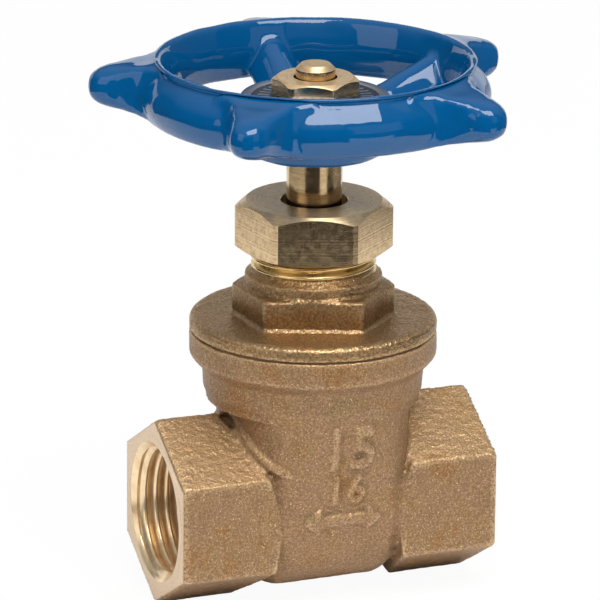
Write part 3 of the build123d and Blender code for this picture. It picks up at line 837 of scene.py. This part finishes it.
def makeWheel():
    piece = newPiece("enamelledWheel", copyNode("handwheel"), blueEnamel)
    reskin(piece, wheel["voxel"], wheel["softenRounds"])
    leanRim(piece)
    wearRound(piece, wheel["tipRounds"], wheel["tipRegain"], [wheel["tipReach"]])
    wearRound(piece, wheel["armRounds"], wheel["armRegain"], [wheel["armStart"], wheel["armEnd"]])
    # the coat of enamel, with the slow waves that it dries in
    swell(piece, lambda v: wheel["regain"] + noise.noise(v.co / wheel["ripple"]) * wheel["rippleHeight"])
    piece.data.shade_smooth()
    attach(piece, "spindle")
    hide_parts("handwheel")
    return piece


wheelPiece = makeWheel()
print("handwheel:", len(wheelPiece.data.polygons), "faces")


# nuts
nutFacets = 180
nutSharp = 18
seatShare = 0.97  # how far out the level top goes, of the way to the flats
nuts = {
    "packing_nut": {
        "name": "packingNut", "body": "valve_body", "flats": 21.3 * mm, "turn": -20.0, "hole": 5.1 * mm,
        "well": 9.75 * mm, "roof": 1.5 * mm, "cone": 1.05 * mm, "foot": 0.45 * mm, "corner": 0.3 * mm,
        "ease": 0.14 * mm},
    "wheel_nut": {
        "name": "wheelNut", "body": "spindle", "flats": 11.8 * mm, "turn": 33.9, "hole": 3.3 * mm,
        "well": 3.3 * mm, "roof": 1.0 * mm, "cone": 0.5 * mm, "foot": 0.1 * mm, "corner": 0.2 * mm,
        "ease": 0.1 * mm},
}


def makeNut(node, nut):
    # turned to its corners, with a cone at the top and a little one at the foot, and the flats cut in
    low, high = [corner.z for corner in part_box(node)]
    half = nut["flats"] / 2
    seat = half * seatShare
    tip = half / math.cos(math.pi / 6) - nut["corner"]
    hole, well, roof = nut["hole"], nut["well"], high - nut["roof"]
    cone, foot, ease = nut["cone"], nut["foot"], nut["ease"]
    bm = spinProfile([
        (hole, high - ease), (hole + ease, high), (seat, high), (tip - ease, high - cone),
        (tip, high - cone - ease), (tip, low + foot + ease), (tip - ease, low + foot), (seat, low),
        (well, low), (well, roof), (hole, roof)], nutFacets)
    for v in bm.verts:
        x, y = v.co.x - stemX, v.co.y
        reach = math.hypot(x, y)
        if reach > seat + joinReach:
            turn = math.atan2(y, x) - math.radians(nut["turn"])
            off = abs((turn + math.pi / 6) % (math.pi / 3) - math.pi / 6)  # from the nearest corner
            inward = max(tip - half / math.cos(math.pi / 6 - off), 0)
            v.co.x, v.co.y = stemX + x * (1 - inward / reach), y * (1 - inward / reach)
            v.co.z += inward / (tip - seat) * (cone if v.co.z > (low + high) / 2 else -foot)
    bmesh.ops.remove_doubles(bm, verts=bm.verts, dist=joinReach)
    bmesh.ops.dissolve_degenerate(bm, edges=bm.edges, dist=joinReach)
    bmesh.ops.recalc_face_normals(bm, faces=bm.faces)
    piece = newPiece(nut["name"], bm, nutBrass, sharp=nutSharp)
    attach(piece, nut["body"])
    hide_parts(node)


for nodeName, nut in nuts.items():
    makeNut(nodeName, nut)


shaft = {
    "radius": 4.23 * mm,
    "low": 45.7 * mm,
    "high": 54.95 * mm,
    "bore": 3.9 * mm,
    "facets": 96,
    "sharp": 40,
}


def makeShaft():  # the polished length of the stem between the gland and the wheel
    s = shaft
    bm = spinProfile([(s["bore"], s["low"]), (s["radius"], s["low"]), (s["radius"], s["high"]),
                      (s["bore"], s["high"])], s["facets"])
    piece = newPiece("polishedShaft", bm, stemBrass, sharp=s["sharp"])
    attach(piece, "spindle")


makeShaft()
print("nuts and shaft")


# identity plate
plate = {
    "hole": 4.6 * mm,
    "fieldIn": 5.6 * mm,
    "fieldOut": 9.7 * mm,
    "out": 11.3 * mm,
    "thick": 0.7 * mm,
    "sink": 0.12 * mm,
    "ease": 0.15 * mm,
    "facets": 128,
    "sharp": 50,
    "ticks": 36,
    "tickIn": 6.9 * mm,
    "tickOut": 8.7 * mm,
    "tickEdge": (0.3, 0.5),
    "bare": "#c3c6cc",
    "paint": "#1c2530",
    "speck": 0.32 * mm,
    "chipped": (0.7, 0.62),  # the paint is off above the first and whole below the second
    "relief": 0.05 * mm,
    "roughness": 0.34,
}


def makePlateMetal():  # pressed aluminium with a ring of bare ticks in a dark blue-black field
    material, tree = newMaterial("plateMetal")
    place = addNode(tree, "ShaderNodeTexCoord").outputs["Object"]
    fromAxis, radius = stemPlace(tree, place)

    def band(low, high):  # 1 between two radii
        above = addNode(tree, "ShaderNodeMath", {0: radius, 1: low}, operation="GREATER_THAN").outputs[0]
        below = addNode(tree, "ShaderNodeMath", {0: radius, 1: high}, operation="LESS_THAN").outputs[0]
        return addNode(tree, "ShaderNodeMath", {0: above, 1: below}, operation="MULTIPLY").outputs[0]

    sides = addNode(tree, "ShaderNodeSeparateXYZ", {0: fromAxis})
    angle = addNode(tree, "ShaderNodeMath", {
        0: sides.outputs["Y"], 1: sides.outputs["X"]}, operation="ARCTAN2").outputs[0]
    swing = addNode(tree, "ShaderNodeMath", {0: angle, 1: plate["ticks"]}, operation="MULTIPLY").outputs[0]
    swing = addNode(tree, "ShaderNodeMath", {0: swing}, operation="SINE").outputs[0]
    low, high = plate["tickEdge"]
    bars = addNode(tree, "ShaderNodeMapRange", {"Value": swing, "From Min": low, "From Max": high}).outputs[0]
    ticks = addNode(tree, "ShaderNodeMath", {
        0: bars, 1: band(plate["tickIn"], plate["tickOut"])}, operation="MULTIPLY").outputs[0]
    field = addNode(tree, "ShaderNodeMath", {
        0: band(plate["fieldIn"], plate["fieldOut"]), 1: ticks}, operation="SUBTRACT").outputs[0]
    grit = addNode(tree, "ShaderNodeTexNoise", {
        "Vector": place, "Scale": 1 / plate["speck"], "Detail": 2, "Roughness": 0.6}).outputs["Fac"]
    off, whole = plate["chipped"]
    painted = addNode(tree, "ShaderNodeMapRange", {
        "Value": grit, "From Min": off, "From Max": whole}).outputs[0]
    dark = addNode(tree, "ShaderNodeMath", {0: field, 1: painted}, operation="MULTIPLY").outputs[0]
    base = addNode(tree, "ShaderNodeMix", {0: dark, 6: colour(plate["bare"]), 7: colour(plate["paint"])},
                   data_type="RGBA").outputs[2]
    metallic = addNode(tree, "ShaderNodeMapRange", {"Value": dark, "To Min": 1.0, "To Max": 0.0}).outputs[0]
    relief = addNode(tree, "ShaderNodeMath", {0: grit, 1: ticks}, operation="ADD").outputs[0]
    bump = addNode(tree, "ShaderNodeBump", {"Height": relief, "Strength": 0.5, "Distance": plate["relief"]})
    finishMaterial(tree, {
        "Base Color": base, "Metallic": metallic, "Roughness": plate["roughness"],
        "Normal": bump.outputs["Normal"]})
    return material


def makePlate():
    p = plate
    low = plateLow.z
    high = low + p["thick"]
    bm = spinProfile([
        (p["hole"], low), (p["out"], low), (p["out"], high - p["ease"]), (p["out"] - p["ease"], high),
        (p["fieldOut"] + p["ease"], high), (p["fieldOut"], high - p["sink"]),
        (p["fieldIn"], high - p["sink"]), (p["fieldIn"] - p["ease"], high), (p["hole"], high)], p["facets"])
    piece = newPiece("pressedPlate", bm, makePlateMetal(), sharp=p["sharp"])
    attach(piece, "spindle")
    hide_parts("identity_plate")


makePlate()
print("plate")


# studio: pale floor, soft boxes, and painted reflections: the dark and glowing sheets of a dim room that only
# gloss sees
studio = {
    "floorSize": 6.0,
    "floorDrop": 0.02 * mm,
    "floorTone": "#fafafa",
    "floorGlow": 0.95,
    "worldLevel": 0.42,
    # azimuth and elevation are as seen from the stem, azimuth 0 on the -Y side
    "boxHeight": 40 * mm,
    "softBoxes": [
        {"name": "leftBox", "azimuth": -73, "elevation": 22, "distance": 0.8, "wide": 0.5, "tall": 0.55,
         "level": 1.1},
        {"name": "rightBox", "azimuth": 21, "elevation": 18, "distance": 0.8, "wide": 0.42, "tall": 0.45,
         "level": 0.4},
        {"name": "topBox", "azimuth": -1, "elevation": 60, "distance": 0.85, "wide": 0.66, "tall": 0.5,
         "level": 7.6},
    ],
    "roomReach": 1.1,
    "roomLift": 0.5 * mm,
    "roomCrown": 0.01 * mm,
    "roomRows": 9,
    "roomSteps": 12,
    # each wall of the room: azimuths, where its floor begins, the elevation it starts at, its glow below
    # and above, and the heights between which it changes
    "walls": [
        {"name": "leftWall", "from": -150, "to": -60, "near": 0.22, "start": 0, "glow": (0.03, 0.5),
         "rise": (0.4, 0.8)},
        {"name": "frontWall", "from": -60, "to": 2, "near": 0.145, "start": 0, "glow": (0.03, 0.6),
         "rise": (0.4, 0.85)},
        {"name": "gapWall", "from": 2, "to": 31, "near": 0.25, "start": 0, "glow": (0.03, 0.3),
         "rise": (0.5, 1.0)},
        {"name": "besideWall", "from": 31, "to": 65, "near": 0.17, "start": 0, "glow": (0.03, 0.3),
         "rise": (0.5, 1.0)},
        {"name": "rightWall", "from": 65, "to": 120, "near": 0.2, "start": 0, "glow": (0.1, 0.5),
         "rise": (0.3, 0.9)},
        {"name": "backWall", "from": 120, "to": 210, "near": None, "start": 18, "glow": (0.08, 0.6),
         "rise": (0.4, 0.9)},
    ],
}


def fromStem(azimuth, elevation, distance, height):
    a, e = math.radians(azimuth), math.radians(elevation)
    way = Vector((math.sin(a) * math.cos(e), -math.cos(a) * math.cos(e), math.sin(e)))
    return Vector((stemX, 0, height)) + way * distance, way


def makeSoftBox(box):
    light = bpy.data.lights.new(box["name"], "AREA")
    light.shape = "RECTANGLE"
    light.size, light.size_y = box["wide"], box["tall"]
    light.energy = box["level"] * math.pi * box["wide"] * box["tall"]
    lamp = bpy.data.objects.new(box["name"], light)
    bpy.context.collection.objects.link(lamp)
    lamp.location, way = fromStem(box["azimuth"], box["elevation"], box["distance"], studio["boxHeight"])
    lamp.rotation_euler = way.to_track_quat("Z", "Y").to_euler()


def makeWorld():
    world = bpy.data.worlds.new("studioWorld")
    bpy.context.scene.world = world
    world.use_nodes = True
    tree = world.node_tree
    tree.nodes.clear()
    path = addNode(tree, "ShaderNodeLightPath")
    seen = path.outputs["Is Camera Ray"]
    for ray in ("Is Glossy Ray", "Is Transmission Ray"):
        seen = addNode(tree, "ShaderNodeMath", {0: seen, 1: path.outputs[ray]},
                       operation="MAXIMUM").outputs[0]
    level = addNode(tree, "ShaderNodeMapRange", {
        "Value": seen, "To Min": studio["worldLevel"], "To Max": 1.0})
    sky = addNode(tree, "ShaderNodeBackground", {"Color": (1, 1, 1, 1), "Strength": level.outputs[0]})
    addNode(tree, "ShaderNodeOutputWorld", {"Surface": sky.outputs[0]})


def makeFloor():
    material, tree = newMaterial("paleFloor")
    path = addNode(tree, "ShaderNodeLightPath")
    flat = addNode(tree, "ShaderNodeBsdfDiffuse", {"Color": colour(studio["floorTone"])})
    glow = addNode(tree, "ShaderNodeEmission", {"Color": (1, 1, 1, 1), "Strength": 1.0})
    seen = addNode(tree, "ShaderNodeMath", {0: path.outputs["Is Camera Ray"], 1: studio["floorGlow"]},
                   operation="MULTIPLY")
    mix = addNode(tree, "ShaderNodeMixShader", {0: seen.outputs[0], 1: flat.outputs[0], 2: glow.outputs[0]})
    addNode(tree, "ShaderNodeOutputMaterial", {"Surface": mix.outputs[0]})
    bm = bmesh.new()
    bmesh.ops.create_grid(bm, x_segments=1, y_segments=1, size=studio["floorSize"] / 2)
    bmesh.ops.translate(bm, verts=bm.verts, vec=(stemX, 0, cadLow.z - studio["floorDrop"]))
    newPiece("floor", bm, material, smooth=False)


def makeReflectionGlow(name, glow, rise):  # glows dim by the floor and brighter overhead: painted reflections, not lamps
    material, tree = newMaterial(name)
    place = addNode(tree, "ShaderNodeTexCoord").outputs["Object"]
    height = addNode(tree, "ShaderNodeSeparateXYZ", {0: place}).outputs["Z"]
    level = addNode(tree, "ShaderNodeMapRange", {
        "Value": height, "From Min": rise[0], "From Max": rise[1],
        "To Min": glow[0], "To Max": glow[1]}).outputs[0]
    shine = addNode(tree, "ShaderNodeEmission", {"Color": (1, 1, 1, 1), "Strength": level})
    addNode(tree, "ShaderNodeOutputMaterial", {"Surface": shine.outputs[0]})
    return material


def makeWall(wall):
    # a sector of the room's floor, wall and vault, seen by gloss alone: a painted reflection, dark low down
    # and glowing overhead
    bm = bmesh.new()
    floorZ = cadLow.z + studio["roomLift"]
    reach, rows = studio["roomReach"], studio["roomRows"]
    line = [(wall["near"], floorZ)] if wall["near"] else []
    for row in range(rows):
        up = math.radians(wall["start"] + (90 - wall["start"]) * row / rows)
        line.append((reach * math.cos(up), floorZ + reach * math.sin(up)))
    line.append((studio["roomCrown"], floorZ + reach))
    start = math.radians(wall["from"])
    ring = [bm.verts.new((stemX + out * math.sin(start), -out * math.cos(start), z)) for out, z in line]
    edges = [bm.edges.new(pair) for pair in zip(ring, ring[1:])]
    bmesh.ops.spin(bm, geom=ring + edges, cent=(stemX, 0, 0), axis=(0, 0, 1),
                   angle=math.radians(wall["to"] - wall["from"]), steps=studio["roomSteps"])
    paint = makeReflectionGlow(wall["name"] + "Paint", wall["glow"], wall["rise"])
    sheet = newPiece(wall["name"], bm, paint, smooth=False)
    sheet.visible_camera = False
    sheet.visible_diffuse = False
    sheet.visible_shadow = False


makeWorld()
makeFloor()
for wall in studio["walls"]:
    makeWall(wall)
for softBox in studio["softBoxes"]:
    makeSoftBox(softBox)
print("studio")


# camera
view = {
    "lens": 318.42,
    "azimuth": -21.436,
    "elevation": 17.506,
    "distance": 807.9 * mm,
    "aimHeight": 30 * mm,
    "left": 2.0 * mm,
    "up": 1.02 * mm,
    "roll": 0.55,
}


def makeCamera():
    camera = bpy.data.objects.new("camera", bpy.data.cameras.new("camera"))
    bpy.context.collection.objects.link(camera)
    place, way = fromStem(view["azimuth"], view["elevation"], view["distance"], view["aimHeight"])
    turn = way.to_track_quat("Z", "Y").to_matrix()
    side, up = turn.col[0], turn.col[1]
    camera.location = place - side * view["left"] + up * view["up"]
    camera.rotation_euler = (turn @ Matrix.Rotation(math.radians(view["roll"]), 3, "Z")).to_euler()
    camera.data.lens = view["lens"]
    camera.data.clip_start, camera.data.clip_end = 0.05, 20
    bpy.context.scene.camera = camera


makeCamera()
bpy.context.scene.view_settings.view_transform = "Standard"
print("camera")
